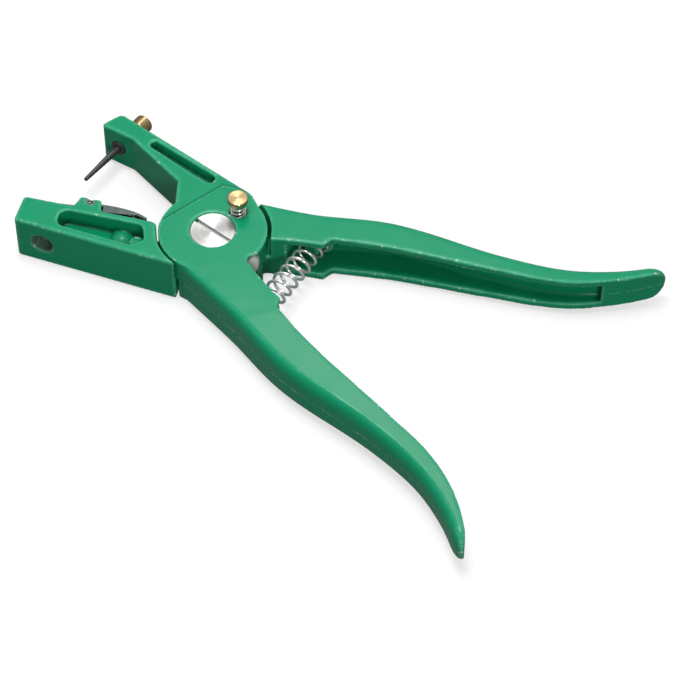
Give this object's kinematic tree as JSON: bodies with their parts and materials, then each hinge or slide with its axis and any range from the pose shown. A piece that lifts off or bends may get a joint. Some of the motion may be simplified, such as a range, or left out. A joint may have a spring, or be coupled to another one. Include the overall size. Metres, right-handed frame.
{
  "type": "ear tag pliers",
  "caption": "Hand pliers for fitting ear tags: lapped cast levers on a slotted pivot screw, a needle jaw, a drilled jaw with a sprung forked tag clip, and a return spring between the handles.",
  "frame": {"origin": "on the pivot axis, at the underside that the pliers lie on", "axes": "+X from the pivot to the handles along the line midway between them, +Z along the pivot axis, up from the underside"},
  "size_m": [0.2305, 0.1541, 0.0288],
  "materials": {
    "enamel": "gloss",
    "plated_steel": "satin",
    "spring_steel": "polished",
    "clip_steel": "polished",
    "blackened_steel": "satin",
    "brass": "polished"
  },
  "bodies": {
    "tag_lever": {"tag_lever": "enamel", "pivot_screw": "plated_steel", "pivot_washer": "plated_steel", "pivot_nut": "plated_steel", "clip_pin": "plated_steel", "return_spring": "spring_steel", "clip_spring": "spring_steel"},
    "pin_lever": {"pin_lever": "enamel", "needle": "blackened_steel", "needle_collar": "blackened_steel", "needle_screw": "brass", "lock_spring": "spring_steel"},
    "lock_button": {"lock_button": "brass", "lock_foot": "plated_steel"},
    "tag_clip": {"tag_clip": "clip_steel"}
  },
  "joints": [
    {"name": "lever_pivot", "type": "hinge", "parent": "tag_lever", "child": "pin_lever", "pos_m": [0, 0, 0.0105], "axis": [0, 0, 1], "range_deg": [0, 30], "stiffness_Nm_per_rad": 1.5, "springref_deg": -8.59, "deforming": ["return_spring"]},
    {"name": "lock_press", "type": "slide", "parent": "pin_lever", "child": "lock_button", "axis": [0, 0, -1], "range_m": [0, 0.0036], "stiffness_N_per_m": 300, "springref_m": -0.004, "deforming": ["lock_spring"]},
    {"name": "clip_hinge", "type": "hinge", "parent": "tag_lever", "child": "tag_clip", "pos_m": [-0.04873, -0.01307, 0.0105], "axis": [0, 0, -1], "range_deg": [0, 10], "stiffness_Nm_per_rad": 0.05, "springref_deg": -5.73, "deforming": ["clip_spring"]}
  ]
}
